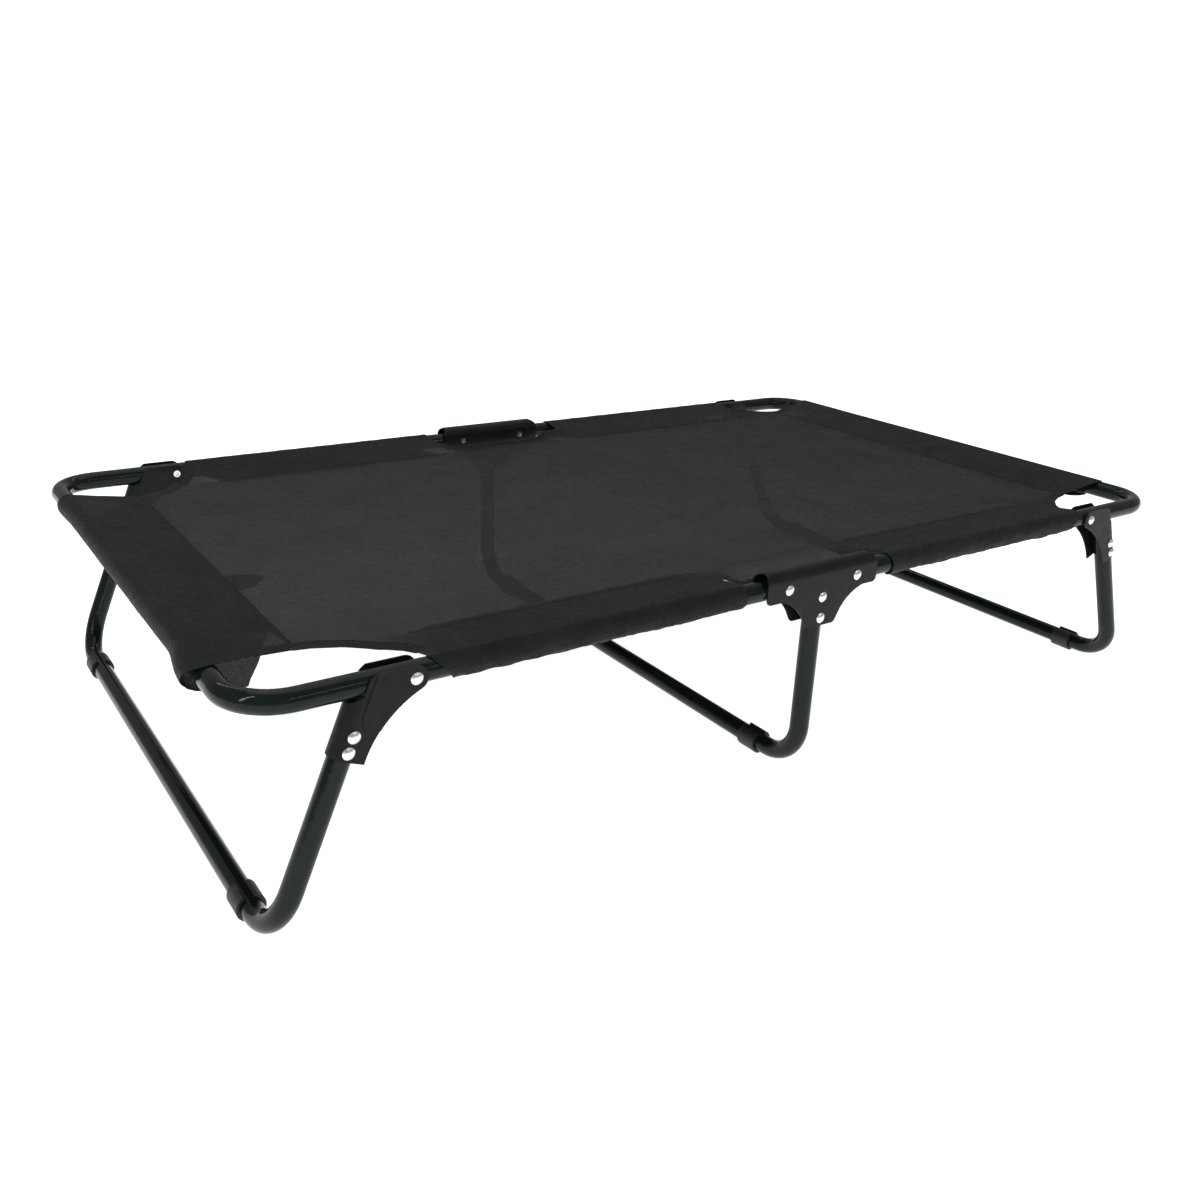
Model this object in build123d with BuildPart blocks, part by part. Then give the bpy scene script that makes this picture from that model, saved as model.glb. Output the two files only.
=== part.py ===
from build123d import *
import os
from math import acos, asin, atan2, cos, hypot, radians, sin, tan

os.makedirs("parts", exist_ok=True)

# Folding elevated dog bed. Z is up, the feet stand on z = 0, the long side runs along X and
# the origin is under the middle of the bed. "front" is the -Y side, "left" the -X end.
# Everything is in millimetres and drawn with the bed unfolded.

# tubes
tube_r = 10.0
tube_wall = 1.2
frame_z = 221.0             # axis of the sling frame above the floor
side_y = 334.5              # axis of each long side tube
end_x = 577.0               # axis of each end bar
frame_bend = 45.0           # bend radius of the frame corners, on the axis
leg_bend = 45.0             # bend radius of the leg elbows, on the axis
crossbar_z = 12.5           # axis of the bars that carry the feet

# hinges
mid_pivot_x = 46.0          # where each half frame pivots in the middle brackets
leg_pivot_x = 440.0         # where each end leg pivots on the half frame
inner_end_x = 37.5          # cut inner end of each side tube
end_foot_x = 564.0          # axis of the end legs' crossbars, unfolded
leg_splay = 22.5            # end legs lean out from the vertical
end_leg_gap = 6.0           # top of the end leg's axis below the frame tube

# sheet metal and rivets
fit_gap = 0.3
sheet = 1.5
channel_in = tube_r + fit_gap           # inside half width of every folded bracket
channel_out = channel_in + sheet
emboss = 0.6
pin_r = 2.5
pivot_hole_r = 2.75
fixed_hole_r = 2.6
head_r = 5.4
head_h = 2.6
head_rim = 0.6              # straight edge under the dome
tail_r = 4.0
tail_h = 1.6
tail_wall = 1.6
fix_pitch = 13.5            # the two rivets that hold an end leg
fix_drop = 37.8             # first of them below the leg pivot

# middle bracket
saddle_half = 74.0
saddle_top = 18.0           # crown above the frame axis
mid_fix_drops = (15.3, 37.7)
mid_leg_top = 4.0           # top of the middle leg above the frame axis

# feet
foot_r = 13.0
foot_bore = tube_r + 0.15
foot_length = 25.0
foot_y = 268.5
foot_mouth = 100.0          # degrees of the clip left open at the top

# sling
cloth = 1.4
sleeve_in = tube_r + fit_gap
sleeve_out = sleeve_in + cloth
side_seam = 70.0            # sewn line inboard of the side tube axis
end_seam = 80.0             # sewn line inboard of the end bar axis
side_sleeve_from = 98.0
side_sleeve_to = 404.0
end_sleeve_half = 282.0
sling_edge_y = 316.0        # free edge of the sling beside the brackets
sling_inner_x = 50.0        # inner edge of each half sling
strip_half = 42.0           # half width of the strip over the middle leg
seam_gap = 0.2
corner_mid = (448.0, 268.0)             # middle of the hollow cut at each outer corner
corner_y = 250.0                        # outboard end of that cut

SIDES = {"left": -1, "right": 1}
FACES = {"front": -1, "back": 1}


def save(piece, name):
    """Label one finished piece and write its STEP file."""
    piece.label = name
    export_step(piece, f"parts/{name}.step")


def across(y):
    """Sketch plane seen from the front: local x is X, local y is Z."""
    return Plane.XZ.offset(-y)


def bent_tube(corners, bend):
    """Round tube along straight runs joined by bends."""
    with BuildPart() as tube:
        with BuildLine():
            path = FilletPolyline(*corners, radius=bend)
        with BuildSketch(Plane(origin=path @ 0, z_dir=path % 0)):
            Circle(tube_r)
            Circle(tube_r - tube_wall, mode=Mode.SUBTRACT)
        sweep()
    return tube.part


def drilled(tube, holes, radius):
    """Tube with round holes through it along Y, at (x, z) places, on both long sides."""
    with BuildPart() as result:
        add(tube)
        with BuildSketch(across(0)):
            with Locations(*holes):
                Circle(radius)
        extrude(amount=side_y + 2 * tube_r, both=True, mode=Mode.SUBTRACT)
    return result.part


def leg_line(side, z):
    """X of the end leg's axis at a height."""
    return side * (end_foot_x - (z - crossbar_z) * tan(radians(leg_splay)))


def leg_points(side, along, inboard):
    """(x, z) beside an end leg: along runs down the leg from its first fixing rivet,
    inboard is square to the leg, towards the middle of the bed."""
    z0 = frame_z - fix_drop
    lean = radians(leg_splay)
    x = leg_line(side, z0) + side * (along * sin(lean) - inboard * cos(lean))
    z = z0 - along * cos(lean) - inboard * sin(lean)
    return x, z


# ---------------------------------------------------------------- half frames
def frame_tube(side):
    inner = side * inner_end_x
    outer = side * end_x
    corners = [
        (inner, -side_y, frame_z),
        (outer, -side_y, frame_z),
        (outer, side_y, frame_z),
        (inner, side_y, frame_z),
    ]
    pivots = [(side * mid_pivot_x, frame_z), (side * leg_pivot_x, frame_z)]
    return drilled(bent_tube(corners, frame_bend), pivots, pivot_hole_r)


# ---------------------------------------------------------------- legs
def end_leg_tube(side):
    top_z = frame_z - tube_r - end_leg_gap
    top = leg_line(side, top_z)
    foot = side * end_foot_x
    corners = [
        (top, -side_y, top_z),
        (foot, -side_y, crossbar_z),
        (foot, side_y, crossbar_z),
        (top, side_y, top_z),
    ]
    holes = [leg_points(side, 0, 0), leg_points(side, fix_pitch, 0)]
    return drilled(bent_tube(corners, leg_bend), holes, fixed_hole_r)


def mid_leg_tube():
    top_z = frame_z + mid_leg_top
    corners = [
        (0, -side_y, top_z),
        (0, -side_y, crossbar_z),
        (0, side_y, crossbar_z),
        (0, side_y, top_z),
    ]
    holes = [(0, frame_z - drop) for drop in mid_fix_drops]
    return drilled(bent_tube(corners, leg_bend), holes, fixed_hole_r)


def foot_clip(x, face):
    """C-shaped clip, open at the top, flat where it stands."""
    mouth = foot_r * 2 * tan(radians(foot_mouth / 2))
    with BuildPart() as clip:
        with BuildSketch(across(face * foot_y)):
            with Locations((x, crossbar_z)):
                Circle(foot_r)
                Circle(foot_bore, mode=Mode.SUBTRACT)
            with Locations((x, crossbar_z + foot_r)):
                Triangle(a=mouth, B=90 - foot_mouth / 2, C=90 - foot_mouth / 2, rotation=180,
                         align=(Align.CENTER, Align.CENTER), mode=Mode.SUBTRACT)
            with Locations((x, -foot_r)):
                Rectangle(4 * foot_r, 2 * foot_r, mode=Mode.SUBTRACT)
        extrude(amount=foot_length / 2, both=True)
    return clip.part


# ---------------------------------------------------------------- end leg brackets
# along: distances down the leg from its first fixing rivet; inboard: square to the leg
bracket_toe = 21.2          # lower edge, along
bracket_heel = 16.4         # lower corner, inboard
plate_r = 10.5              # rounded nose about the pivot
nose_end_angle = 65.0       # where the nose runs into the hollow lower edge
nose_mid_angle = 12.0
hollow_in = 26.5            # deepest point of the hollow edge, outboard of the pivot
hollow_drop = 31.7          # and below it
plate_back = 32.5           # outboard end of the plates' top edge
wrap_edge = channel_out + 1.2
wrap_top = -21.5            # upper end of the wrap round the leg, along
neck_out = -3.0             # outboard edge of the plates above the wrap, inboard
neck_from = -33.0           # that edge's lower end, along
neck_to = -46.5             # and its upper end
panel_out = 1.5             # outboard edge of the raised panel, inboard
panel_step = 6.0            # start of its lower edge, inboard
panel_low = -8.0            # its lower edge, along
panel_corner = -14.0        # start of the sloped corner, along
panel_reach = 70.0          # past the edge of the plate


def bracket_outline(side):
    """Side view of an end leg bracket, with the nose round the pivot, the hollow lower edge
    and the wrap that goes round the outboard side of the leg."""
    px = side * leg_pivot_x
    top_z = frame_z + plate_r
    end = radians(nose_end_angle)
    mid = radians(nose_mid_angle)
    nose_end = (px - side * plate_r * cos(end), frame_z - plate_r * sin(end))
    nose_mid = (px - side * plate_r * cos(mid), frame_z + plate_r * sin(mid))
    heel = leg_points(side, bracket_toe, bracket_heel)
    hollow = (px + side * hollow_in, frame_z - hollow_drop)
    with BuildLine() as outline:
        Polyline(
            heel,
            leg_points(side, bracket_toe, -wrap_edge),
            leg_points(side, wrap_top, -wrap_edge),
            leg_points(side, neck_from, neck_out),
            leg_points(side, neck_to, neck_out),
            (px + side * plate_back, top_z),
            (px, top_z),
        )
        ThreePointArc((px, top_z), nose_mid, nose_end)
        ThreePointArc(nose_end, hollow, heel)
    return outline


def leg_bracket(side, face):
    """Sheet folded round the leg tube, with two plates that straddle the frame tube."""
    y = face * side_y
    foot_x, foot_z = leg_points(side, bracket_toe, 0)
    lean = radians(leg_splay)
    up_the_leg = (-side * sin(lean), 0, cos(lean))
    inboard = (-side * cos(lean), 0, -sin(lean))
    section = Plane(origin=(foot_x, y, foot_z), x_dir=inboard, z_dir=up_the_leg)
    reach = 60.0                # blank sizes, cut to the outline below
    length = 130.0
    with BuildPart() as bracket:
        with BuildSketch(section):
            Circle(channel_out)
            with Locations((reach / 2, 0)):
                Rectangle(reach, 2 * channel_out)
            Circle(channel_in, mode=Mode.SUBTRACT)
            with Locations((reach, 0)):
                Rectangle(2 * reach, 2 * channel_in, mode=Mode.SUBTRACT)
        extrude(amount=length)
        with BuildSketch(across(y)):
            add(bracket_outline(side).line)
            make_face()
        extrude(amount=2 * channel_out, both=True, mode=Mode.INTERSECT)
        # the frame tube lies in a slot between the plates
        with BuildSketch(Plane.YZ):
            with Locations((y, frame_z)):
                Circle(channel_in)
            with Locations((y, frame_z + tube_r)):
                Rectangle(2 * channel_in, 2 * tube_r)
        extrude(amount=side * 2 * leg_pivot_x, mode=Mode.SUBTRACT)
        # raised panel pressed into the outer plate
        with BuildSketch(across(y + face * channel_out)):
            add(bracket_outline(side).line)
            make_face()
            with BuildLine():
                Polyline(
                    leg_points(side, -panel_reach, panel_out),
                    leg_points(side, panel_corner, panel_out),
                    leg_points(side, panel_low, panel_step),
                    leg_points(side, panel_low, panel_reach),
                    leg_points(side, -panel_reach, panel_reach),
                    close=True,
                )
            make_face(mode=Mode.INTERSECT)
        extrude(amount=-face * emboss)
        with BuildSketch(across(y)):
            with Locations((side * leg_pivot_x, frame_z)):
                Circle(pivot_hole_r)
            with Locations(leg_points(side, 0, 0), leg_points(side, fix_pitch, 0)):
                Circle(fixed_hole_r)
        extrude(amount=2 * channel_out, both=True, mode=Mode.SUBTRACT)
    return bracket.part


# ---------------------------------------------------------------- middle brackets
saddle_depth = 200.0        # blank depth of the channel, cut to the outline
saddle_fold_r = 10.5        # outer radius of its two folds
wing_corner = 5.0           # rounded lower corners of the wings
stem_corner = 5.0           # and of the stem
shoulder = 9.0              # rounded ends of the crown
wing_z = frame_z - 11.5     # lower edge of the wings
stem_z = frame_z - 46.0     # lower edge of the stem
stem_half = 19.0
wing_root = (56.0, wing_z)
saddle_hollow = (33.0, wing_z - 12.5)
neck = (23.0, wing_z - 27.0)


def saddle_bracket(face):
    """Inverted channel over the tube ends, cut to a T in side view."""
    y = face * side_y
    crown = frame_z + saddle_top
    with BuildPart() as saddle:
        with BuildSketch(Plane.YZ.offset(-saddle_half)):
            with Locations((y, crown)):
                RectangleRounded(2 * channel_out, saddle_depth, saddle_fold_r,
                                 align=(Align.CENTER, Align.MAX))
            with Locations((y, crown - sheet)):
                RectangleRounded(2 * channel_in, saddle_depth, saddle_fold_r - sheet,
                                 align=(Align.CENTER, Align.MAX), mode=Mode.SUBTRACT)
        extrude(amount=2 * saddle_half)
        with BuildSketch(across(y)):
            for hand in SIDES.values():
                with BuildLine():
                    corner = (hand * saddle_half, crown - shoulder)
                    Line((0, crown), (hand * (saddle_half - shoulder), crown))
                    RadiusArc((hand * (saddle_half - shoulder), crown), corner, hand * shoulder)
                    FilletPolyline(
                        corner,
                        (hand * saddle_half, wing_z),
                        (hand * wing_root[0], wing_z),
                        radius=wing_corner,
                    )
                    ThreePointArc(
                        (hand * wing_root[0], wing_z),
                        (hand * saddle_hollow[0], saddle_hollow[1]),
                        (hand * neck[0], neck[1]),
                    )
                    FilletPolyline(
                        (hand * neck[0], neck[1]),
                        (hand * stem_half, stem_z),
                        (0, stem_z),
                        radius=stem_corner,
                    )
                    Line((0, stem_z), (0, crown))
                make_face()
        extrude(amount=2 * channel_out, both=True, mode=Mode.INTERSECT)
        with BuildSketch(across(y)):
            with Locations((-mid_pivot_x, frame_z), (mid_pivot_x, frame_z)):
                Circle(pivot_hole_r)
            with Locations(*[(0, frame_z - drop) for drop in mid_fix_drops]):
                Circle(fixed_hole_r)
        extrude(amount=2 * channel_out, both=True, mode=Mode.SUBTRACT)
    return saddle.part


# ---------------------------------------------------------------- rivets
def rivet_solid(x, z, face, raised=0.0):
    """One rivet across a bracket: domed head outside, rolled hollow tail inside."""
    y = face * side_y
    head = channel_out + raised
    tail = -channel_out
    bore_r = tail_r - tail_wall
    dome_h = head_h - head_rim
    dome_r = (head_r**2 + dome_h**2) / (2 * dome_h)
    half_turn = asin(head_r / dome_r) / 2
    dome_mid = (dome_r * sin(half_turn), head + head_h - dome_r * (1 - cos(half_turn)))
    with BuildPart() as rivet:
        with BuildSketch(Plane(origin=(x, y, z), x_dir=(1, 0, 0), z_dir=(0, 0, face))):
            with BuildLine():
                Polyline(
                    (0, head + head_h),
                    (0, tail),
                    (bore_r, tail),
                    (bore_r, tail - tail_h),
                    (tail_r, tail - tail_h),
                    (tail_r, tail),
                    (pin_r, tail),
                    (pin_r, head),
                    (head_r, head),
                    (head_r, head + head_rim),
                )
                ThreePointArc((head_r, head + head_rim), dome_mid, (0, head + head_h))
            make_face()
        revolve(axis=Axis((x, y, z), (0, 1, 0)))
    return rivet.part


def rivet_group(places, face):
    with BuildPart() as group:
        for x, z in places:
            add(rivet_solid(x, z, face))
    return group.part


# ---------------------------------------------------------------- sling
sewn = 4.0                  # width where the two layers lie together
hollow_tip = 0.05           # half height of the loop's hollow where it ends


def tangent_point(toward, radius, x, y):
    """Where a line from (x, y) touches a circle about the origin, on the side that y is on."""
    turn = atan2(abs(y), x) + acos(radius / hypot(x, y))
    return toward * radius * cos(turn), (1 if y > 0 else -1) * radius * sin(turn)


def wedge(toward, radius, reach, half_edge):
    """Straight sides from a circle to an edge, drawn from the circle's centre."""
    upper = tangent_point(toward, radius, reach, half_edge)
    lower = tangent_point(toward, radius, reach, -half_edge)
    with BuildLine() as sides:
        Polyline(
            (0, 0),
            upper,
            (toward * reach, half_edge),
            (toward * reach, -half_edge),
            lower,
            close=True,
        )
    return sides.line


def sleeve_section(toward, seam):
    """Loop of cloth round a tube, drawn about the tube's axis. Its two layers meet at the
    level of the axis, where they are sewn together. toward is the local x direction inboard."""
    with BuildSketch() as section:
        Circle(sleeve_out)
        with BuildLine():
            add(wedge(toward, sleeve_out, seam, cloth / 2))
        make_face()
        Circle(sleeve_in, mode=Mode.SUBTRACT)
        with BuildLine():
            add(wedge(toward, sleeve_in, seam - sewn, hollow_tip))
        make_face(mode=Mode.SUBTRACT)
    return section.sketch


def side_sleeve(side, face):
    start = Plane(origin=(side * side_sleeve_from, face * side_y, frame_z),
                  x_dir=(0, 1, 0), z_dir=(1, 0, 0))
    with BuildPart() as sleeve:
        with BuildSketch(start):
            add(sleeve_section(-face, side_seam))
        extrude(amount=side * (side_sleeve_to - side_sleeve_from))
    return sleeve.part


def end_sleeve(side):
    start = Plane(origin=(side * end_x, -end_sleeve_half, frame_z),
                  x_dir=(1, 0, 0), z_dir=(0, -1, 0))
    with BuildPart() as sleeve:
        with BuildSketch(start):
            add(sleeve_section(-side, end_seam))
        extrude(amount=-2 * end_sleeve_half)
    return sleeve.part


def sling_panel(side):
    """Half of the sling between its sewn lines, with the hollow cut at both outer corners."""
    seam_x = end_x - end_seam - seam_gap
    seam_y = side_y - side_seam - seam_gap
    notch_in = side_sleeve_from - seam_gap
    notch_out = side_sleeve_to + seam_gap
    with BuildPart() as panel:
        with BuildSketch(Plane.XY.offset(frame_z - cloth / 2)):
            for face in FACES.values():
                with BuildLine():
                    Polyline(
                        (side * notch_out, face * sling_edge_y),
                        (side * notch_out, face * seam_y),
                        (side * notch_in, face * seam_y),
                        (side * notch_in, face * sling_edge_y),
                        (side * sling_inner_x, face * sling_edge_y),
                        (side * sling_inner_x, 0),
                        (side * seam_x, 0),
                        (side * seam_x, face * corner_y),
                    )
                    ThreePointArc(
                        (side * seam_x, face * corner_y),
                        (side * corner_mid[0], face * corner_mid[1]),
                        (side * notch_out, face * sling_edge_y),
                    )
                make_face()
        extrude(amount=cloth)
    return panel.part


def sling_strip():
    """Band of the sling over the middle leg, between the two hinge lines."""
    with BuildPart() as strip:
        with BuildSketch(Plane.XY.offset(frame_z - cloth / 2)):
            Rectangle(2 * strip_half, 2 * sling_edge_y)
        extrude(amount=cloth)
    return strip.part


# ---------------------------------------------------------------- write every piece
for side_name, s in SIDES.items():
    save(frame_tube(s), f"{side_name}_frame_tube")
    save(end_leg_tube(s), f"{side_name}_leg_tube")
    save(end_sleeve(s), f"{side_name}_end_sleeve")
    save(sling_panel(s), f"{side_name}_sling")
    for face_name, f in FACES.items():
        where = f"{side_name}_{face_name}"
        fixings = [leg_points(s, 0, 0), leg_points(s, fix_pitch, 0)]
        save(leg_bracket(s, f), f"{where}_leg_bracket")
        save(rivet_solid(s * leg_pivot_x, frame_z, f, emboss), f"{where}_leg_pivot_rivet")
        save(rivet_group(fixings, f), f"{where}_leg_rivets")
        save(rivet_solid(s * mid_pivot_x, frame_z, f), f"{where}_frame_pivot_rivet")
        save(foot_clip(s * end_foot_x, f), f"{where}_foot")
        save(side_sleeve(s, f), f"{where}_side_sleeve")

save(mid_leg_tube(), "middle_leg_tube")
save(sling_strip(), "middle_sling")
for face_name, f in FACES.items():
    save(saddle_bracket(f), f"middle_{face_name}_bracket")
    save(rivet_group([(0, frame_z - drop) for drop in mid_fix_drops], f),
         f"middle_{face_name}_rivets")
    save(foot_clip(0, f), f"middle_{face_name}_foot")
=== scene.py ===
"""Looks of the folding raised dog bed: mesh sling, sewn hems, painted tubes, floor, light and camera."""
import math

import bpy
import numpy as np
from mathutils import Matrix, Vector, noise
from mathutils.geometry import delaunay_2d_cdt

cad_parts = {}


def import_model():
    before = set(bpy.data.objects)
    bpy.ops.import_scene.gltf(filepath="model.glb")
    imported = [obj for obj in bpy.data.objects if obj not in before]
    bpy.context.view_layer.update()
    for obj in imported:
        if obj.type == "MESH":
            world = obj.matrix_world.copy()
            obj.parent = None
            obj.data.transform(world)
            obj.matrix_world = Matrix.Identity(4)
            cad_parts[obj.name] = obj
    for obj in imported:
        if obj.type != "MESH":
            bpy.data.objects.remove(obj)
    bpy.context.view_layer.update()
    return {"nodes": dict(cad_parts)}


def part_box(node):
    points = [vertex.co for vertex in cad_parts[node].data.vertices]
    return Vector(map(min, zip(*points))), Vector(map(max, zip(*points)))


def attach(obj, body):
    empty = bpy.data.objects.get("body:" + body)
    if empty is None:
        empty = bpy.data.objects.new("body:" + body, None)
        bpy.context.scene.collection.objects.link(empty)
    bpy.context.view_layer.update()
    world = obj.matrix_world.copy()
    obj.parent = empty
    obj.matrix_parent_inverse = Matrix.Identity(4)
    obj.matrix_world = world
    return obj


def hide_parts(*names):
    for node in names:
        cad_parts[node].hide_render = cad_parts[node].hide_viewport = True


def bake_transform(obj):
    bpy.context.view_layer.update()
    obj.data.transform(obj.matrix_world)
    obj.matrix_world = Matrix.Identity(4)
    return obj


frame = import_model()

MM = 0.001
SIDES = {"left": -1, "right": 1}
FACES = {"front": -1, "back": 1}
HEM_PAST_SEAM = 5.0         # the CAD's end hems reach this far inboard of their sewn line
FOLD_INSIDE = 3.0           # the folded edge runs this far inside the CAD's

# places read from the frame, in millimetres
tube_low, tube_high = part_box("left_frame_tube")
TUBE_R = (tube_high.z - tube_low.z) / 2 / MM
AXIS_Z = (tube_high.z + tube_low.z) / 2 / MM
END_X = -tube_low.x / MM - TUBE_R
SIDE_Y = tube_high.y / MM - TUBE_R
sleeve_low, sleeve_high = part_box("right_front_side_sleeve")
SLEEVE_FROM = sleeve_low.x / MM
SLEEVE_TO = sleeve_high.x / MM
SIDE_SEAM = -sleeve_high.y / MM             # sewn line of the side hems
END_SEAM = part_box("right_end_sleeve")[0].x / MM + HEM_PAST_SEAM     # and of the end hems
SLING_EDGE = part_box("middle_sling")[1].y / MM - FOLD_INSIDE         # free edge beside the middle brackets

# cloth
CLOTH = 0.7                 # thickness
WRAP_R = TUBE_R + 0.9       # middle of the cloth round a tube
LAYER = 0.95                # between the middles of two layers sewn together
FOLD_R = LAYER / 2          # edge folded under beside the middle brackets
FOLD_BACK = 20.0
SLIT_FROM = 88.0            # the folded edge ends here and the sleeve starts at SLEEVE_FROM
LIFT_FROM = 58.0            # from here to SLEEVE_FROM the edge climbs to the top of the tube
FALL_FROM = 424.0           # beside the end leg brackets it comes down again
FALL_TO = 452.0
EDGE_SAG = 8.0              # how far the free edge beside a middle bracket hangs
SIDE_TAB = 9.0              # raw edge of the lower layer past the side seam
FACING = 15.0               # width of the strip sewn under each hollow corner edge
FACING_STEP = 4.0
FACING_TO = (560.0, 328.0)  # the strip stays inside these distances along and across the bed
WEAVE = 2.6                 # one repeat of the weave, two yarns
SEAM_FADE = 10.0            # the light through a single layer fades out over this, inside each seam

# creases and slack of the hems
SIDE_CREASE = 2.6
SIDE_PUCKER = 1.5           # where a side hem begins
END_LOOSE = (0.6, 0.9)      # how far the lower layer of an end hem stands off, and its long waves
END_CREASE = 0.7
TOP_WAVE = 0.5              # waves of the upper layer
SINK = 1.1                  # how far the middle of the sling sinks, and its long waves
SINK_WAVE = 0.9
# where a slack end drops, and where it stands out: start, over how much, stop, over how much, as shares
# of the way from the seam round the tube and back to it
DROP_SHARES = (0.46, 0.3, 0.88, 0.11)
BULGE_SHARES = (0.38, 0.1, 0.54, 0.14)
BULGE = 0.42                # how far it stands out, of how far it drops

# stitches
STITCH = 3.4                # one stitch and the gap after it
STITCH_LENGTH = 2.7
THREAD_R = 0.36
SEAM_ROWS = (-1.5, 2.0)     # the two rows of a seam, by how far outboard of the sewn line they run
BAR_STITCHES = 9            # of a bartack, with their pitch, half their length and how far each slants
BAR_PITCH = 0.95
BAR_HALF = 3.4
BAR_SLANT = 0.01
# rings of a stitch: share of its length, share of its thickness, rise
STITCH_RINGS = ((0.0, 0.45, -0.25), (0.2, 0.9, 0.1), (0.5, 1.0, 0.22), (0.8, 0.9, 0.1), (1.0, 0.45, -0.25))
THREAD_SIDES = 6


# ---------------------------------------------------------------- node materials
class Shader:
    """One node material with a Principled shader."""

    def __init__(self, name, **sockets):
        self.material = bpy.data.materials.new(name)
        self.material.use_nodes = True
        self.tree = self.material.node_tree
        self.tree.nodes.clear()
        self.shader = self.node("ShaderNodeBsdfPrincipled")
        output = self.node("ShaderNodeOutputMaterial")
        self.link(self.shader.outputs[0], output.inputs[0])
        for key, value in sockets.items():
            self.shader.inputs[key.replace("_", " ")].default_value = value

    def node(self, kind, **props):
        made = self.tree.nodes.new(kind)
        for key, value in props.items():
            setattr(made, key, value)
        return made

    def link(self, source, target):
        self.tree.links.new(source, target)

    def math(self, operation, a, b=0.0, c=0.0):
        made = self.node("ShaderNodeMath", operation=operation)
        for slot, value in zip(made.inputs, (a, b, c)):
            if isinstance(value, (int, float)):
                slot.default_value = value
            else:
                self.link(value, slot)
        return made.outputs[0]

    def noise(self, scale, detail=2.0, rough=0.5):
        """Noise of about this many spots per metre, from 0 to 1."""
        place = self.node("ShaderNodeTexCoord").outputs["Object"]
        made = self.node("ShaderNodeTexNoise")
        made.inputs["Scale"].default_value = scale
        made.inputs["Detail"].default_value = detail
        made.inputs["Roughness"].default_value = rough
        self.link(place, made.inputs["Vector"])
        return made.outputs["Fac"]

    def spread(self, value, low, high, start=0.3, end=0.7):
        """The value from start to end, stretched to run from low to high and held there outside."""
        made = self.node("ShaderNodeMapRange")
        self.link(value, made.inputs["Value"])
        for key, number in (("From Min", start), ("From Max", end), ("To Min", low), ("To Max", high)):
            made.inputs[key].default_value = number
        return made.outputs[0]

    def tint(self, factor, low, high):
        """A colour between two, by the factor."""
        made = self.node("ShaderNodeMix", data_type="RGBA")
        self.link(factor, made.inputs[0])
        made.inputs[6].default_value = (*low, 1)
        made.inputs[7].default_value = (*high, 1)
        return made.outputs[2]

    def colour(self, socket):
        self.link(socket, self.shader.inputs["Base Color"])

    def rough(self, socket):
        self.link(socket, self.shader.inputs["Roughness"])

    def bump(self, height, distance, strength=1.0):
        made = self.node("ShaderNodeBump")
        made.inputs["Distance"].default_value = distance
        made.inputs["Strength"].default_value = strength
        self.link(height, made.inputs["Height"])
        self.link(made.outputs[0], self.shader.inputs["Normal"])


def gloss_paint():
    """Black gloss on the tubes: faint orange peel, a little dust, rubbed patches."""
    m = Shader("gloss_black_paint", Specular_IOR_Level=0.2)
    dust = m.noise(38, 4, 0.6)
    m.colour(m.tint(m.spread(dust, 0, 1, 0.35, 0.75), (0.003, 0.0078, 0.0064), (0.007, 0.0130, 0.0112)))
    m.rough(m.spread(m.noise(90, 3, 0.6), 0.05, 0.13))
    dents = m.math("MULTIPLY", m.noise(70, 2, 0.5), 3.0)
    m.bump(m.math("ADD", dents, m.noise(420, 2, 0.5)), 0.00012, 0.5)
    return m.material


def satin_paint():
    """Fine-grained satin black on the folded sheet brackets."""
    m = Shader("satin_black_paint", Specular_IOR_Level=0.16)
    wear = m.noise(60, 5, 0.65)
    m.colour(m.tint(m.spread(wear, 0, 1, 0.4, 0.8), (0.006, 0.0085, 0.0070), (0.012, 0.0150, 0.0130)))
    m.rough(m.spread(m.noise(140, 3, 0.6), 0.36, 0.5))
    m.bump(m.noise(1500, 3, 0.6), 0.0001, 0.5)
    return m.material


def zinc():
    """Bright plated rivets with fine turning marks and dull spots."""
    m = Shader("zinc_rivet", Metallic=1.0)
    spots = m.noise(900, 4, 0.6)
    m.colour(m.tint(m.spread(spots, 0, 1), (0.62, 0.63, 0.64), (0.88, 0.88, 0.87)))
    m.rough(m.spread(m.noise(500, 3, 0.6), 0.16, 0.36))
    m.bump(m.noise(1100, 2, 0.5), 0.00008, 0.4)
    return m.material


def black_plastic():
    """Matte moulded feet with a fine grain."""
    m = Shader("moulded_black_plastic", Specular_IOR_Level=0.45)
    shade = m.noise(120, 4, 0.6)
    m.colour(m.tint(m.spread(shade, 0, 1), (0.009, 0.010, 0.010), (0.017, 0.018, 0.018)))
    m.rough(m.spread(m.noise(200, 3, 0.6), 0.42, 0.6))
    m.bump(m.noise(1800, 2, 0.6), 0.00012, 0.5)
    return m.material


def weave(m, axes):
    """Where two yarns cross and where a hole lies between them, each from -1 to 1."""
    turns = 2 * math.pi / (WEAVE * MM)
    warp = m.math("MULTIPLY", axes.outputs[0], turns)
    weft = m.math("MULTIPLY", axes.outputs[1], turns)
    crossing = m.math("MULTIPLY", m.math("SINE", warp), m.math("COSINE", weft))
    between = m.math("MULTIPLY", m.math("COSINE", warp), m.math("SINE", weft))
    return crossing, between


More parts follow.
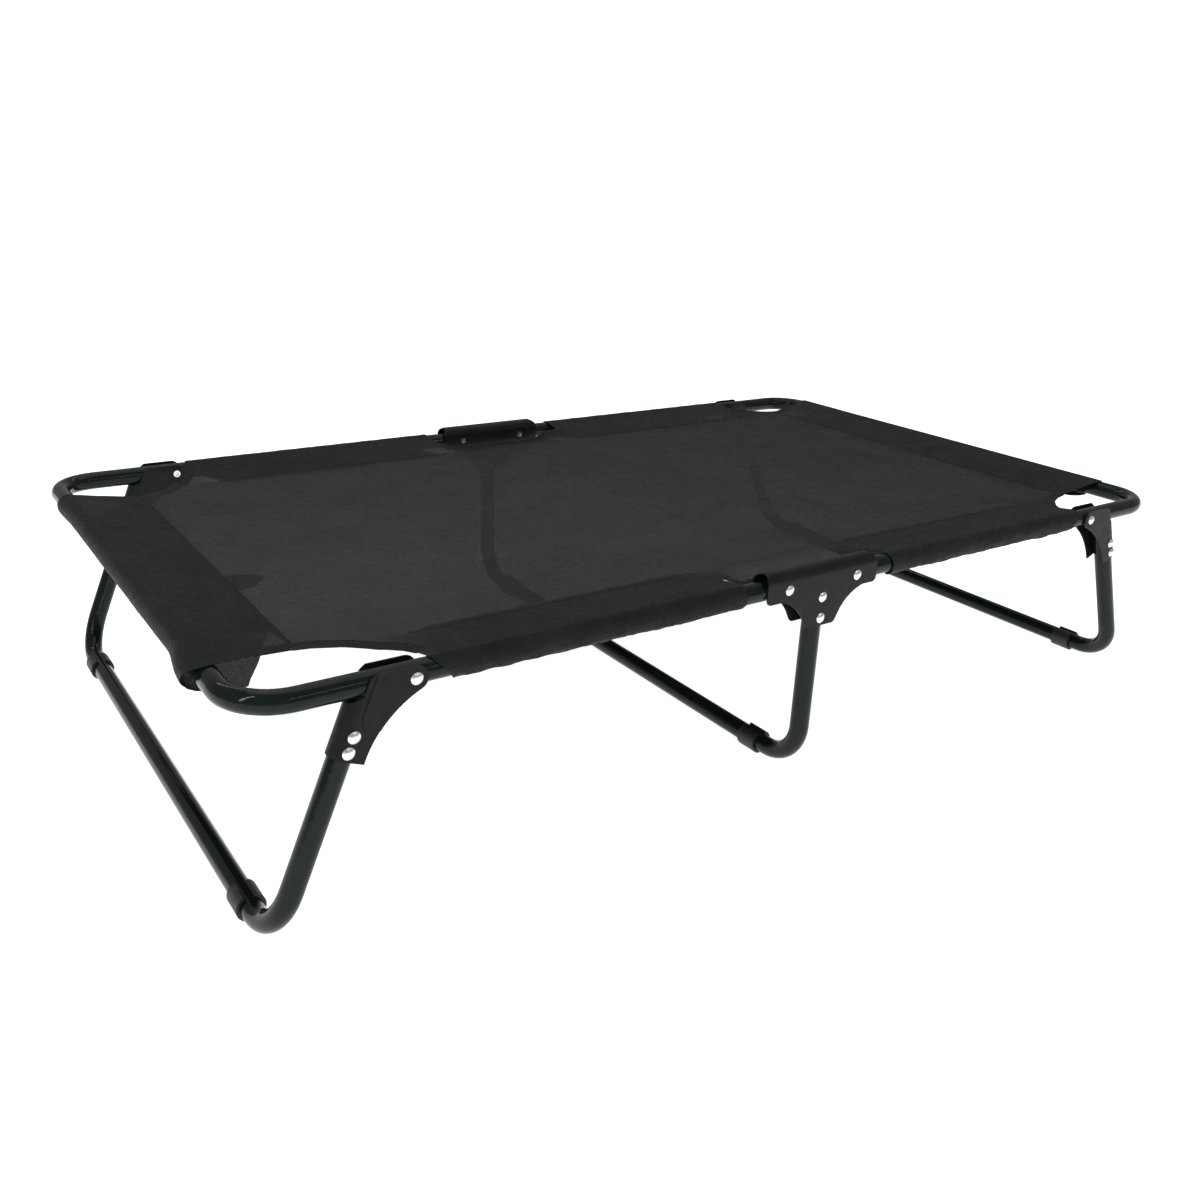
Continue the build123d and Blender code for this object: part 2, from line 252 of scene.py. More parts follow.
def open_cloth(m, between):
    """The face where light enters has the holes. The one where it leaves lets less through the flatter
    the view runs along it."""
    hole = m.spread(m.math("ABSOLUTE", between), 0, 1, 0.74, 0.96)
    slant = m.node("ShaderNodeLayerWeight").outputs["Facing"]
    through = m.spread(slant, 0.32, 0, 0.43, 0.778)
    inner = m.node("ShaderNodeNewGeometry").outputs["Backfacing"]
    open_share = m.node("ShaderNodeMix", data_type="FLOAT")
    m.link(inner, open_share.inputs[0])
    m.link(hole, open_share.inputs[2])
    m.link(through, open_share.inputs[3])
    m.link(m.math("SUBTRACT", 1, open_share.outputs[0]), m.shader.inputs["Alpha"])


def single_layer(m, distance, seam):
    """1 inside the seam, fading to 0 at it."""
    return m.spread(m.math("ABSOLUTE", distance), 1, 0, (seam - SEAM_FADE) * MM, (seam + 2) * MM)


def mesh_cloth():
    """Plain weave of coated yarn, laid out in the cut's own flat size, open between the yarns, its colour
    painted lighter where the yarns cross as a painted highlight on the yarn tops. A single layer is a
    little lighter, for the daylight that it spreads from below."""
    m = Shader("woven_mesh", Specular_IOR_Level=0.06)
    flat = m.node("ShaderNodeUVMap", uv_map="cut")
    axes = m.node("ShaderNodeSeparateXYZ")
    m.link(flat.outputs[0], axes.inputs[0])
    crossing, between = weave(m, axes)
    open_cloth(m, between)
    across = single_layer(m, axes.outputs[0], END_SEAM)
    along = single_layer(m, axes.outputs[1], SIDE_SEAM)
    lit_through = m.math("MULTIPLY", m.math("MINIMUM", across, along), 0.3)
    # painted highlight: the colour is lighter where the yarns cross, for the glint on the yarn tops; the
    # noise is random tone
    shade = m.math("ADD", m.math("MULTIPLY", m.spread(crossing, 0, 1, -1, 1), 0.9), m.noise(22, 5, 0.6))
    shade = m.math("ADD", shade, lit_through)
    m.colour(m.tint(m.spread(shade, 0, 1, 0.4, 1.7), (0.0088, 0.0113, 0.0095), (0.0380, 0.0440, 0.0390)))
    m.rough(m.spread(m.noise(160, 3, 0.6), 0.42, 0.58))
    yarn = m.math("ABSOLUTE", crossing)
    grain = m.math("MULTIPLY", m.noise(2400, 2, 0.6), 0.3)
    m.bump(m.math("ADD", yarn, grain), 0.00035, 0.9)
    return m.material


def thread():
    """Twisted black sewing thread."""
    m = Shader("sewing_thread", Specular_IOR_Level=0.4)
    twist = m.noise(1400, 3, 0.6)
    m.colour(m.tint(m.spread(twist, 0, 1), (0.008, 0.008, 0.008), (0.026, 0.026, 0.026)))
    m.rough(m.spread(m.noise(700, 2, 0.5), 0.45, 0.65))
    m.bump(twist, 0.0001, 0.6)
    return m.material


# ---------------------------------------------------------------- the cut of the sling
# Free edge between each side sleeve and end sleeve, as (x, y) distances from the bed's middle.
CUTS = {
    ("left", "front"): [(425, 331), (427, 318), (431, 303), (438, 289), (450, 275), (466, 262), (490, 252),
                        (505, 249), (540, 257), (577, 269)],
    ("left", "back"): [(426, 331), (434, 318), (440, 303), (448, 288), (464, 267), (484, 250), (521, 241),
                       (549, 243), (577, 248)],
    ("right", "front"): [(424, 331), (434, 320), (444, 304), (455, 288), (470, 276), (490, 267), (513, 262),
                         (545, 264), (577, 267)],
    ("right", "back"): [(424, 332), (442, 327), (464, 305), (485, 287), (508, 278), (538, 280), (577, 289)],
}
# how far the slack end of each end hem hangs
SLACK = {("left", "front"): 17.0, ("left", "back"): 4.0, ("right", "front"): 1.5, ("right", "back"): 3.0}
# how far the lower layer of each end hem stops short of the upper one
SHORT = {("left", "front"): 25.0, ("left", "back"): 12.0, ("right", "front"): 22.0, ("right", "back"): 14.0}
# and how much further back its corner at the seam is
CUT_BACK = {("left", "front"): 46.0, ("left", "back"): 12.0,
            ("right", "front"): 12.0, ("right", "back"): 12.0}
# raw edge of the lower layer past each end seam, as (y, distance)
RAW = {
    "left": [(-240, 1), (-175, 3), (-98, 2), (-91, 24), (-73, 34), (-62, 28), (-55, 2), (0, 3), (60, 2),
             (119, 4), (180, 3), (222, 2)],
    "right": [(-236, 4), (-120, 7), (-40, 3), (60, 6), (150, 4), (262, 5)],
}


class Wrap:
    """Path of the cloth up to a tube, round it and back under to where it is sewn to itself,
    level with the tube's axis."""

    def __init__(self, axis, seam):
        self.axis = axis
        self.seam = seam
        reach = axis - seam
        edge = LAYER / 2
        span = math.hypot(reach, edge)
        self.start = math.acos(WRAP_R / span) - math.atan2(reach, edge)
        self.turn = math.pi - 2 * self.start
        self.round = WRAP_R * self.turn
        self.slope = math.sqrt(span**2 - WRAP_R**2)
        self.sewn = seam + self.slope + self.round + self.slope

    def at(self, d):
        """(outward distance, height over the tube axis, outward and upward parts of the normal)."""
        if d <= self.seam:
            return d, LAYER / 2, 0.0, 1.0
        d -= self.seam + self.slope
        angle = self.start + min(max(d / WRAP_R, 0.0), self.turn)
        normal = (math.sin(angle), math.cos(angle))
        run = min(d, 0.0) + min(max(d - self.round, 0.0), self.slope)
        out = self.axis + WRAP_R * normal[0] + run * normal[1]
        up = WRAP_R * normal[1] - run * normal[0]
        tab = d - self.round - self.slope
        if tab > 0:
            return out - tab, up, 0.0, -1.0
        return out, up, *normal

    def share(self, d):
        """0 at the seam in the upper layer, 1 at the seam in the lower layer."""
        return min(max((d - self.seam) / (self.sewn - self.seam), 0.0), 1.0)


SIDE_WRAP = Wrap(SIDE_Y, SIDE_SEAM)
END_WRAP = Wrap(END_X, END_SEAM)
FOLD_ROUND = math.pi * FOLD_R


def fold_under(d):
    """Path of the plain edge, folded flat under itself."""
    d -= SLING_EDGE
    angle = min(max(d / FOLD_R, 0.0), math.pi)
    out = SLING_EDGE + min(d, 0.0) + FOLD_R * math.sin(angle) - max(d - FOLD_ROUND, 0.0)
    return out, FOLD_R * math.cos(angle), math.sin(angle), math.cos(angle)


def smooth(x):
    """From 0 to 1 with a gentle start and end."""
    x = min(max(x, 0.0), 1.0)
    return x * x * (3 - 2 * x)


def ripple(x, y, seed):
    """Smooth noise from about -1 to 1."""
    return noise.noise(Vector((x, y, seed)))


def ragged(points, amount, seed, step=4.0):
    """The line through the points, cut into short steps with a hand-cut wobble."""
    result = []
    for a, b in zip(points, points[1:]):
        count = max(1, round(math.dist(a, b) / step))
        for i in range(count):
            t = i / count
            x = a[0] + (b[0] - a[0]) * t
            y = a[1] + (b[1] - a[1]) * t
            result.append((x + amount * ripple(x * 0.06, y * 0.06, seed),
                           y + amount * ripple(x * 0.06, y * 0.06, seed + 9)))
    return result + [points[-1]]


def middle_flap(seed):
    """Outline from the bed's middle to the slit beside the side sleeve, with the edge that folds under."""
    edge = SLING_EDGE + FOLD_ROUND + FOLD_BACK
    slit = [(SLIT_FROM, SLING_EDGE - 6), (SLEEVE_FROM - 5, SLING_EDGE - 10), (SLEEVE_FROM, SLING_EDGE - 4)]
    return [(0.0, edge)] + ragged([(0.5, edge), (SLIT_FROM, edge)], 1.5, seed) + slit


def side_flap(first_cut, seed):
    """Outline of the flap that goes round the side tube, up to where the hollow corner begins."""
    rim = SIDE_WRAP.sewn + SIDE_TAB
    under = SIDE_WRAP.seam + SIDE_WRAP.slope + SIDE_WRAP.round
    near = [(SLEEVE_FROM, SIDE_Y), (SLEEVE_FROM + 3, under), (SLEEVE_FROM + 14, rim)]
    raw = [(SLEEVE_FROM + 18, rim), (SLEEVE_TO - 20, rim)]
    far = [(SLEEVE_TO - 12, rim - 3), (SLEEVE_TO - 1, under), (SLEEVE_TO + 4, SIDE_Y + 24)]
    top = [(SLEEVE_TO + 8, SIDE_Y + 17), (first_cut - 4, SIDE_Y + 9), (first_cut, SIDE_Y + 1)]
    points = ragged(near, 1.5, seed + 1) + ragged(raw, 3.0, seed + 2)
    return points + ragged(far, 1.2, seed + 3) + ragged(top, 0.6, seed + 7)


def end_flap(side, face, seed):
    """Outline of the end of the flap that goes round the end bar. Its lower layer stops short."""
    end_y = CUTS[side, face][-1][1]
    low_y = end_y - SHORT[side, face]
    cut_back = CUT_BACK[side, face]
    points = [(END_X + 4, end_y), (END_X + 26, low_y + 3), (END_WRAP.sewn - 40, low_y + 4)]
    points += [(END_WRAP.sewn - 35, low_y + 4 - cut_back / 5), (END_WRAP.sewn - 4, low_y - cut_back)]
    return ragged(points, 1.5, seed + 5)


def quarter_outline(side, face, seed):
    """A quarter of the flat cut's outline, from the middle of its edge round to the end of the end flap."""
    cut = CUTS[side, face]
    points = middle_flap(seed) + side_flap(cut[0][0], seed)
    points += ragged(cut, 0.8, seed + 4, 5.0)
    return points + end_flap(side, face, seed)


def middle_line():
    """Points along the bed's middle, from back to front, close together where the edge folds under."""
    fold = SLING_EDGE + FOLD_ROUND
    half = [fold + FOLD_BACK - 6, fold + FOLD_BACK / 2, fold + 2]
    half += [SLING_EDGE + FOLD_ROUND * t for t in (1, 0.75, 0.5, 0.25, 0)]
    half += list(np.linspace(SLING_EDGE - 4, 8, 38))
    return [(0.0, float(y)) for y in half] + [(0.0, -float(y)) for y in reversed(half)]


def outline(side, seed):
    """Closed outline of one half's flat cut: x outward from the bed's middle, y to the back."""
    back = quarter_outline(side, "back", seed)
    front = [(x, -y) for x, y in quarter_outline(side, "front", seed + 20)]
    raw = ragged([(END_WRAP.sewn + width, y) for y, width in RAW[side]], 2.5, seed + 6, 3.0)
    return front + raw + back[::-1] + middle_line()


def inside(points, loop):
    """True for each point that lies in the closed loop."""
    x, y = points[:, 0], points[:, 1]
    result = np.zeros(len(points), bool)
    ends = np.array(loop)
    for (x0, y0), (x1, y1) in zip(ends, np.roll(ends, -1, axis=0)):
        if y0 == y1:
            continue
        crosses = (y0 > y) != (y1 > y)
        result ^= crosses & (x < (x1 - x0) * (y - y0) / (y1 - y0) + x0)
    return result


def clear_of(points, loop, margin):
    """True for each point that is at least the margin from the loop."""
    ends = np.array(loop)
    nearest = np.full(len(points), 1e9)
    for a, b in zip(ends, np.roll(ends, -1, axis=0)):
        along = b - a
        t = np.clip(((points - a) @ along) / max(along @ along, 1e-12), 0, 1)
        nearest = np.minimum(nearest, np.linalg.norm(points - a - t[:, None] * along, axis=1))
    return nearest > margin


def grid(x0, x1, dx, y0, y1, dy):
    """Points in rows, about dx and dy apart."""
    x = np.linspace(x0, x1, max(2, round((x1 - x0) / dx) + 1))
    y = np.linspace(y0, y1, max(2, round((y1 - y0) / dy) + 1))
    return np.array(np.meshgrid(x, y)).reshape(2, -1).T


def inner_points(loop):
    """Mesh points: wide apart on the flat, close where the cloth bends or wrinkles."""
    rim = SIDE_WRAP.sewn + SIDE_TAB
    side_top = SIDE_WRAP.seam + SIDE_WRAP.slope
    end_top = END_WRAP.seam + END_WRAP.slope
    wide = 300      # past both ends of the end hems
    zones = [
        grid(6, END_WRAP.seam - 3, 8, -SIDE_SEAM + 2, SIDE_SEAM - 2, 8),
        grid(END_WRAP.seam, end_top - 4, 6, -wide, wide, 7),
        grid(end_top, end_top + END_WRAP.round, 2.6, -wide, wide, 5),
        grid(end_top + END_WRAP.round + 4, END_WRAP.sewn + 50, 5, -wide, wide, 5),
    ]
    for f in FACES.values():
        bands = [
            grid(SLEEVE_FROM + 2, SLEEVE_TO, 5, SIDE_SEAM, side_top - 3, 5),
            grid(SLEEVE_FROM + 2, SLEEVE_TO + 20, 4, side_top, side_top + SIDE_WRAP.round, 2.4),
            grid(SLEEVE_FROM + 2, SLEEVE_TO, 4, side_top + SIDE_WRAP.round + 4, rim, 5),
            grid(5, SLEEVE_FROM - 2, 5, SIDE_SEAM, SLING_EDGE - 3, 5),
            grid(5, SLIT_FROM, 5, SLING_EDGE, SLING_EDGE + FOLD_ROUND, 0.38),
            grid(5, SLIT_FROM, 6, SLING_EDGE + FOLD_ROUND + 4, SLING_EDGE + FOLD_ROUND + FOLD_BACK, 6),
            grid(SLEEVE_TO + 4, END_WRAP.seam - 3, 4, SIDE_SEAM + 1, SIDE_Y - 3, 4),
        ]
        zones += [band * (1, f) for band in bands]
    points = np.concatenate(zones)
    points = points[inside(points, loop)]
    return points[clear_of(points, loop, 1.3)]


def side_path(p, y):
    """Height of the cloth near a side tube, with how far it is from the bed's middle."""
    top = SIDE_WRAP.seam + SIDE_WRAP.slope
    if p >= SLEEVE_FROM - 2 and (p <= FALL_FROM or y > top):
        return SIDE_WRAP.at(y)
    if p > FALL_FROM:
        up, ny, nz = SIDE_WRAP.at(y)[1:]
        fade = smooth((FALL_TO - p) / (FALL_TO - FALL_FROM))
        return y, LAYER / 2 + (up - LAYER / 2) * fade, ny * fade, nz
    y, up, ny, nz = fold_under(y)
    climb = SIDE_WRAP.at(min(y, SLING_EDGE))[1] - LAYER / 2
    rise = smooth((p - LIFT_FROM) / (SLEEVE_FROM - LIFT_FROM))
    sag = EDGE_SAG * smooth((y - SIDE_SEAM) / (SLING_EDGE - SIDE_SEAM)) * (1 - rise)
    return y, up + climb * rise - sag, ny, nz


def hump(x, rise_from, rise, fall_from, fall):
    """Rises smoothly from 0 to 1 and falls back to 0."""
    return smooth((x - rise_from) / rise) * (1 - smooth((x - fall_from) / fall))


def end_droop(side, face, share, y):
    """How far the slack lower layer of an end sleeve hangs at its open end."""
    return SLACK[side, face] * smooth((y - 176) / 70) * hump(share, *DROP_SHARES)


def end_bulge(side, face, share, y):
    """How far it stands out past the tube there."""
    return BULGE * SLACK[side, face] * smooth((y - 190) / 60) * hump(share, *BULGE_SHARES)


def end_puff(p, q, share, seed):
    """How far the cloth of an end hem stands off its taut path."""
    loose = math.sin(math.pi * smooth((share - 0.35) / 0.65))
    puff = (END_LOOSE[0] + END_LOOSE[1] * ripple(p * 0.02, q * 0.016, seed)) * loose
    puff += END_CREASE * abs(ripple(p * 0.05, q * 0.05, seed + 2)) * loose
    taut = math.sin(math.pi * smooth(share / 0.36))
    return puff + TOP_WAVE * ripple(p * 0.018, q * 0.03, seed + 4) * taut


def side_puff(p, q, seed):
    """How far the cloth of a side hem stands off its taut path. It lies close at its outer end."""
    share = SIDE_WRAP.share(abs(q))
    ends = math.exp(-(p - SLEEVE_FROM) / 9) + math.exp(-abs(SLEEVE_TO - p) / 9)
    crease = abs(ripple(p * 0.035, abs(q) * 0.16, seed))
    crease += 0.6 * abs(ripple(p * 0.09, abs(q) * 0.2, seed + 1))
    pucker = SIDE_PUCKER * ends * (0.5 + ripple(p * 0.3, q * 0.12, seed))
    loose = math.sin(math.pi * smooth((share - 0.3) / 0.7))
    return (SIDE_CREASE * crease + pucker) * loose * (1 - 0.7 * math.exp(-abs(SLEEVE_TO - p) / 14))


def middle_sink(p, q, y):
    """Change of height between the seams, at the distance y from the bed's middle line: a little lower, in
    long waves."""
    tight = smooth((SIDE_SEAM - y) / 70) * smooth((END_SEAM - p) / 80) * smooth((p + 20) / 120)
    return tight * (SINK_WAVE * ripple(p * 0.009, q * 0.011, 0.0) - SINK)


def place(side, p, q, off=0.0):
    """The flat cut's point (p, q) on the bed, or a point that far off its outer face, in millimetres."""
    s = SIDES[side]
    face = "front" if q < 0 else "back"
    f = FACES[face]
    seed = 3.0 * s + 7.0 * f
    y = abs(q)
    x, up, nx, nz = END_WRAP.at(p)
    ny = 0.0
    if p <= END_WRAP.seam:
        y, up, ny, nz = side_path(p, y)
    puff = 0.2 * ripple(p * 0.04, q * 0.04, 5.0)
    if p > END_WRAP.seam:
        share = END_WRAP.share(p)
        x += end_bulge(side, face, share, y)
        up -= end_droop(side, face, share, y)
        puff = end_puff(p, q, share, seed)
    elif y > SIDE_SEAM and SLEEVE_FROM - 2 <= p <= FALL_FROM:
        puff = side_puff(p, q, seed)
    elif y < SIDE_SEAM:
        up += middle_sink(p, q, y)
    puff = max(puff, -0.2) + off
    return Vector((s * (x + puff * nx), f * (y + puff * ny), AXIS_Z + up + puff * nz))


def solid_mesh(name, vertices, faces, material):
    """A new smooth object from millimetre points."""
    mesh = bpy.data.meshes.new(name)
    mesh.from_pydata([tuple(Vector(v) * MM) for v in vertices], [], faces)
    mesh.materials.append(material)
    mesh.shade_smooth()
    obj = bpy.data.objects.new(name, mesh)
    bpy.context.scene.collection.objects.link(obj)
    return obj


def rim_edges(faces):
    """Directed edges that belong to one face only."""
    used = {(f[i], f[i - 2]) for f in faces for i in range(3)}
    return [(a, b) for a, b in used if (b, a) not in used]


def cloth_mesh(name, vertices, faces, flat, material):
    """Cloth of real thickness about a triangle mesh, with the flat cut as UVs."""
    thin = solid_mesh(name, vertices, faces, material)
    normals = [v.normal * CLOTH / 2 for v in thin.data.vertices]
    bpy.data.objects.remove(thin)
    count = len(vertices)
    outer = [v + n for v, n in zip(vertices, normals)]
    inner = [v - n for v, n in zip(vertices, normals)]
    shell = [tuple(f) for f in faces] + [tuple(i + count for i in f[::-1]) for f in faces]
    shell += [(b, a, a + count, b + count) for a, b in rim_edges(faces)]
    obj = solid_mesh(name, outer + inner, shell, material)
    obj.data.set_sharp_from_angle(angle=math.radians(60))
    layer = obj.data.uv_layers.new(name="cut")
    for corner in obj.data.loops:
        layer.data[corner.index].uv = flat[corner.vertex_index % count]
    return obj


def cut_mesh(name, side, loop, extra, material):
    """Triangles inside the loop, laid on the bed."""
    points = [Vector(p) for p in loop] + [Vector(p) for p in extra]
    edges = [(i, (i + 1) % len(loop)) for i in range(len(loop))]
    flat, _, faces, _, _, _ = delaunay_2d_cdt(points, edges, [], 1, 1e-4)
    s = SIDES[side]
    faces = [tuple(f) if s > 0 else tuple(f)[::-1] for f in faces]
    uvs = [(s * p.x * MM, p.y * MM) for p in flat]
    return cloth_mesh(name, [place(side, p.x, p.y) for p in flat], faces, uvs, material)


def bend_with_hinge(obj):
    """Bakes the piece's place into its mesh; it is not attached to the frame or the middle leg."""
    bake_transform(obj)


def sling_half(side, material):
    """One half of the sewn sheet."""
    loop = outline(side, 40.0 if side == "left" else 80.0)
    obj = cut_mesh(f"{side}_mesh_sling", side, loop, inner_points(loop), material)
    bend_with_hinge(obj)
    return obj, loop


# ---------------------------------------------------------------- facings and stitches
def resampled(points, step):
    """Points a step apart along a line, with the direction of the line at each."""
    result = []
    carry = 0.0
    for a, b in zip(points, points[1:]):
        a, b = Vector(a), Vector(b)
        length = (b - a).length
        along = (b - a) / length
        d = carry
        while d < length:
            result.append((a + along * d, along))
            d += step
        carry = d - length
    return result


def inboard(side, face, step):
    """Points along a hollow corner edge, each with the direction away from the edge."""
    far_x, far_y = FACING_TO
    places = resampled([p for p in CUTS[side, face] if p[0] < far_x and p[1] < far_y], step)
    return [(at, Vector((along.y, -along.x))) for at, along in places]


def facings(side, material):
    """Strips sewn under the hollow edges at both corners of one half."""
    rows = (0.4, FACING_STEP, 2 * FACING_STEP, 3 * FACING_STEP, FACING)
    vertices, faces = [], []
    for face, f in FACES.items():
        line = inboard(side, face, FACING_STEP)
        base = len(vertices)
        for at, away in line:
            for row in rows:
                p = at + away * row
                vertices.append(place(side, p.x, f * p.y, -LAYER))
        wide = len(rows)
        for i in range(len(line) - 1):
            for j in range(wide - 1):
                a = base + i * wide + j
                faces += [(a, a + 1, a + wide + 1), (a, a + wide + 1, a + wide)]
    flat = [(v.x * MM, v.y * MM) for v in vertices]
    return cloth_mesh(f"{side}_corner_facings", vertices, faces, flat, material)


def stitch(start, end, lift, vertices, faces):
    """One thread loop lying on the cloth, from start to end, its middle raised a little."""
    along = (end - start).normalized()
    across = lift.cross(along).normalized()
    sides = THREAD_SIDES
    base = len(vertices)
    last = base + (len(STITCH_RINGS) - 1) * sides
    for t, width, high in STITCH_RINGS:
        middle = start.lerp(end, t) + lift * high
        for k in range(sides):
            turn = 2 * math.pi * k / sides
            vertices.append(middle + (across * math.cos(turn) + lift * math.sin(turn)) * THREAD_R * width)
    for ring in range(base, last, sides):
        for k in range(sides):
            a = ring + k
            b = ring + (k + 1) % sides
            faces.append((a, b, b + sides, a + sides))
    faces.append(tuple(range(base + sides - 1, base - 1, -1)))
    faces.append(tuple(range(last, last + sides)))


def sewn_line(side, points, vertices, faces, step=STITCH, length=STITCH_LENGTH):
    """A row of stitches along a line in the flat cut."""
    for at, along in resampled(points, step):
        ends = [at, at + along * length]
        low = [place(side, p.x, p.y, CLOTH / 2) for p in ends]
        high = place(side, at.x, at.y, CLOTH / 2 + 1)
        stitch(low[0], low[1], (high - low[0]).normalized(), vertices, faces)


def bartack(side, p, q, vertices, faces):
    """A short dense bar of stitches across the end of a seam."""
    for i in range(BAR_STITCHES):
        x = p + (i - BAR_STITCHES // 2) * BAR_PITCH
        bar = [(x, q - BAR_HALF), (x + BAR_SLANT, q + BAR_HALF)]
        sewn_line(side, bar, vertices, faces, 3 * BAR_HALF, 2 * BAR_HALF)


def side_rows(side, vertices, faces):
    """Two rows along each side seam with a bartack at both ends."""
    for f in FACES.values():
        for row in SEAM_ROWS:
            y = f * (SIDE_SEAM + row)
            sewn_line(side, [(SLEEVE_FROM + 6, y), (SLEEVE_TO - 2, y)], vertices, faces)
        for x in (SLEEVE_FROM + 5, SLEEVE_TO - 1):
            bartack(side, x, f * SIDE_SEAM, vertices, faces)


def end_rows(side, vertices, faces):
    """Two rows along the end seam, and one along each corner facing."""
    low = -CUTS[side, "front"][-2][1] + 8
    high = CUTS[side, "back"][-2][1] - 8
    for row in SEAM_ROWS:
        sewn_line(side, [(END_SEAM + row, low), (END_SEAM + row, high)], vertices, faces)
    for y in (low, high):
        bartack(side, END_SEAM, y, vertices, faces)
    for face, f in FACES.items():
        line = [at + away * (FACING - 3) for at, away in inboard(side, face, FACING_STEP)]
        line = [(p.x, f * p.y) for p in line if p.x < END_SEAM - 3]
        sewn_line(side, line, vertices, faces)


def edge_rows(side, vertices, faces):
    """One row along the folded edge beside each middle bracket."""
    for f in FACES.values():
        y = f * (SLING_EDGE - FOLD_BACK + 4)
        sewn_line(side, [(1.5, y), (SLIT_FROM - 2, y)], vertices, faces)


def sew(name, side, rows, material):
    """All the stitches of the given kinds of row on one half, as one object."""
    vertices, faces = [], []
    for row in rows:
        row(side, vertices, faces)
    return solid_mesh(name, vertices, faces, material)


# ---------------------------------------------------------------- build
HALF_NODES = ("sling", "end_sleeve", "front_side_sleeve", "back_side_sleeve")
PAINT = gloss_paint()
SATIN = satin_paint()
ZINC = zinc()
PLASTIC = black_plastic()
CLOTH_MESH = mesh_cloth()
THREAD = thread()


def finish_of(node):
    """The finish of a CAD node, by its name."""
    if node.endswith("_tube"):
        return PAINT
    if "rivet" in node:
        return ZINC
    if node.endswith("_foot"):
        return PLASTIC
    return SATIN


def dress(node, obj):
    """Smooth shading and a procedural finish on a CAD piece, whose shape stays as it is."""
    obj.data.materials.clear()
    obj.data.materials.append(finish_of(node))
    obj.data.shade_smooth()
    obj.data.set_sharp_from_angle(angle=math.radians(32))


for node_name, cad in frame["nodes"].items():
    if "sling" not in node_name and "sleeve" not in node_name:
        dress(node_name, cad)

for side_name in SIDES:
    half, loop = sling_half(side_name, CLOTH_MESH)
    replaced = [f"{side_name}_{part}" for part in HALF_NODES]
    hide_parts(*replaced)
    if side_name == "left":
        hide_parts("middle_sling")
    facing = facings(side_name, CLOTH_MESH)
    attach(facing, f"{side_name}_frame")
    seams = sew(f"{side_name}_seam_stitches", side_name, (side_rows, end_rows), THREAD)
    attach(seams, f"{side_name}_frame")
    edges = sew(f"{side_name}_edge_stitches", side_name, (edge_rows,), THREAD)
    bend_with_hinge(edges)


# ---------------------------------------------------------------- floor, light and camera
FLOOR_HALF = 12.0
FLOOR_GLOW = 0.93           # keeps the pale floor white under the bed
AMBIENT = 0.36              # the white studio as a light
BACKDROP = 1.1              # and as the camera sees it
# the viewpoint, from the fit of the bed's own measures
CAMERA_AT = (-0.78545, -1.08233, 0.6077)
CAMERA_YAW = -35.066
CAMERA_PITCH = -21.485
CAMERA_ROLL = 2.292
CAMERA_LENS = 34.19
# name, place, what it points at, size, watts
LIGHTS = (
    ("overhead", (0.2, 0.3, 2.2), (0, 0, 0.1), (2.2, 1.6), 9),
    ("left_strip", (-1.9, -0.6, 1.5), (-0.3, 0, 0.2), (0.06, 1.6), 8),
    ("front_strip", (0.4, -2.0, 1.4), (0.1, 0, 0.2), (1.8, 0.05), 3),
    ("back_strip", (0.2, 1.5, 1.7), (0, 0.1, 0.2), (2.4, 0.06), 3),
)


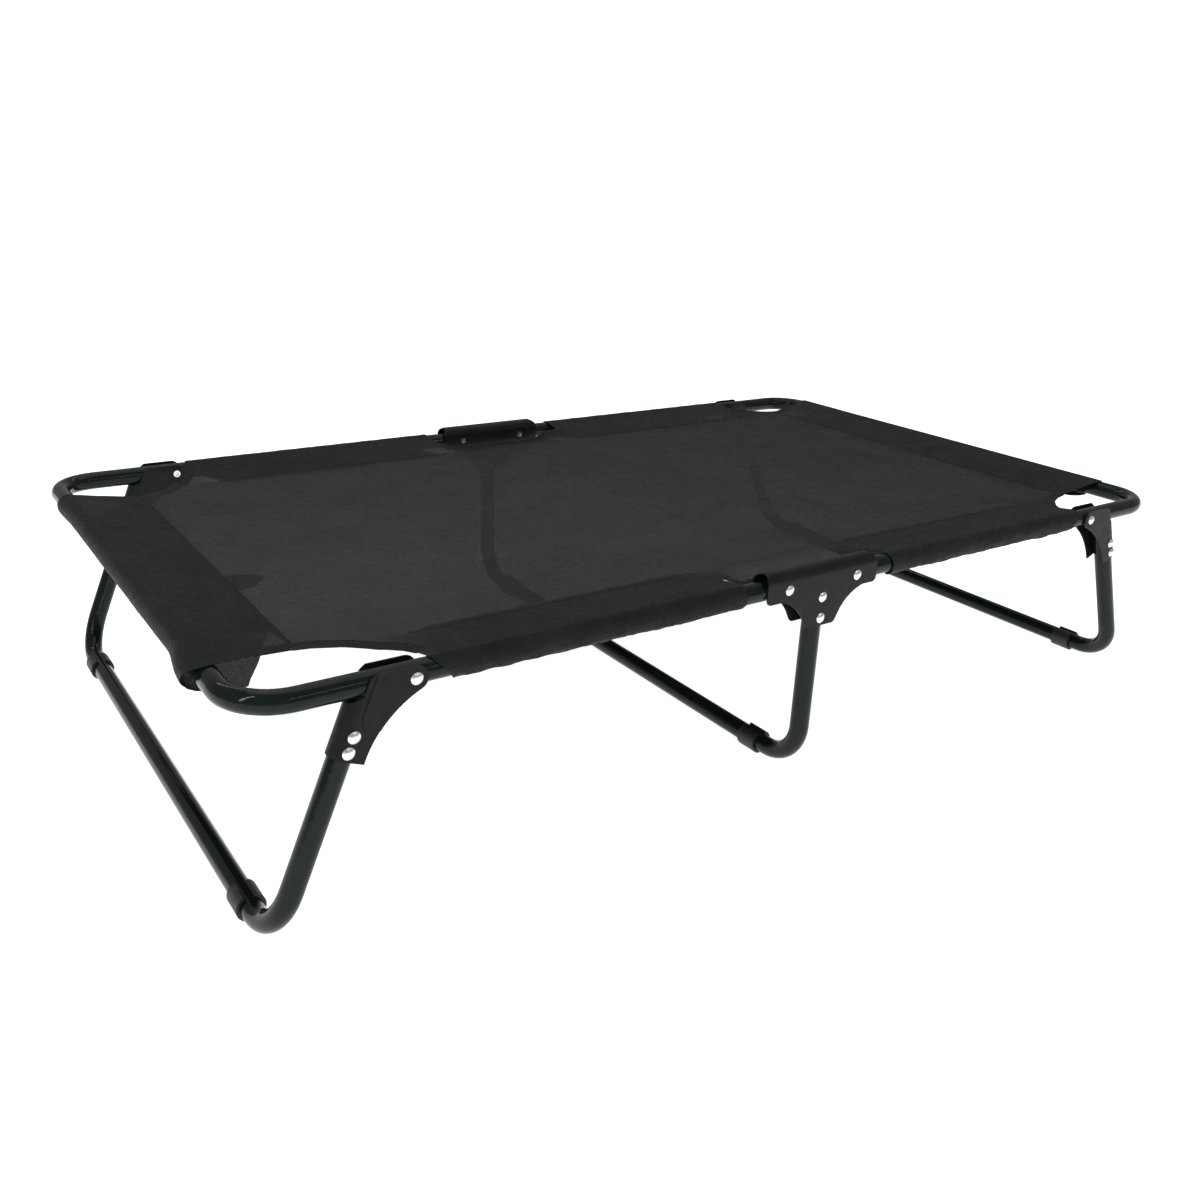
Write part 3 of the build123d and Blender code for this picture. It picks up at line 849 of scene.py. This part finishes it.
def floor():
    """A plain pale floor."""
    mesh = bpy.data.meshes.new("studio_floor")
    half = FLOOR_HALF
    corners = [(-half, -half, 0), (half, -half, 0), (half, half, 0), (-half, half, 0)]
    mesh.from_pydata(corners, [], [(0, 1, 2, 3)])
    m = Shader("pale_floor", Specular_IOR_Level=0.2)
    m.colour(m.tint(m.noise(3, 3, 0.5), (0.90, 0.90, 0.90), (0.94, 0.94, 0.94)))
    m.rough(m.spread(m.noise(6, 2, 0.5), 0.7, 0.85))
    m.shader.inputs["Emission Color"].default_value = (1, 1, 1, 1)
    m.shader.inputs["Emission Strength"].default_value = FLOOR_GLOW
    mesh.materials.append(m.material)
    obj = bpy.data.objects.new("studio_floor", mesh)
    bpy.context.scene.collection.objects.link(obj)


def world():
    """A white studio: plain white behind the bed, dimmer as a light."""
    made = bpy.data.worlds.new("studio")
    made.use_nodes = True
    tree = made.node_tree
    path = tree.nodes.new("ShaderNodeLightPath")
    strength = tree.nodes.new("ShaderNodeMapRange")
    strength.inputs["To Min"].default_value = AMBIENT
    strength.inputs["To Max"].default_value = BACKDROP
    tree.links.new(path.outputs["Is Camera Ray"], strength.inputs["Value"])
    background = tree.nodes["Background"]
    background.inputs[0].default_value = (1.0, 1.0, 1.0, 1)
    tree.links.new(strength.outputs[0], background.inputs[1])
    bpy.context.scene.world = made


def softbox(name, at, towards, size, power):
    """A rectangular light pointed at a place."""
    light = bpy.data.lights.new(name, "AREA")
    light.shape = "RECTANGLE"
    light.size, light.size_y = size
    light.energy = power
    obj = bpy.data.objects.new(name, light)
    obj.location = at
    obj.rotation_mode = "QUATERNION"
    obj.rotation_quaternion = (Vector(towards) - Vector(at)).to_track_quat("-Z", "Y")
    bpy.context.scene.collection.objects.link(obj)


def camera():
    """The camera, turned by its yaw, pitch and roll."""
    yaw = math.radians(CAMERA_YAW)
    pitch = math.radians(CAMERA_PITCH)
    roll = math.radians(CAMERA_ROLL)
    forward = Vector((-math.sin(yaw) * math.cos(pitch), math.cos(yaw) * math.cos(pitch), math.sin(pitch)))
    level = Vector((math.cos(yaw), math.sin(yaw), 0))
    upright = level.cross(forward)
    right = math.cos(roll) * level + math.sin(roll) * upright
    up = -math.sin(roll) * level + math.cos(roll) * upright
    data = bpy.data.cameras.new("camera")
    data.sensor_width = 36.0
    data.lens = CAMERA_LENS
    data.clip_start = 0.05
    obj = bpy.data.objects.new("camera", data)
    turn = Matrix((right, up, -forward)).transposed()
    obj.matrix_world = Matrix.Translation(CAMERA_AT) @ turn.to_4x4()
    bpy.context.scene.collection.objects.link(obj)
    bpy.context.scene.camera = obj


floor()
world()
for light_row in LIGHTS:
    softbox(*light_row)
camera()
bpy.context.scene.view_settings.view_transform = "Standard"
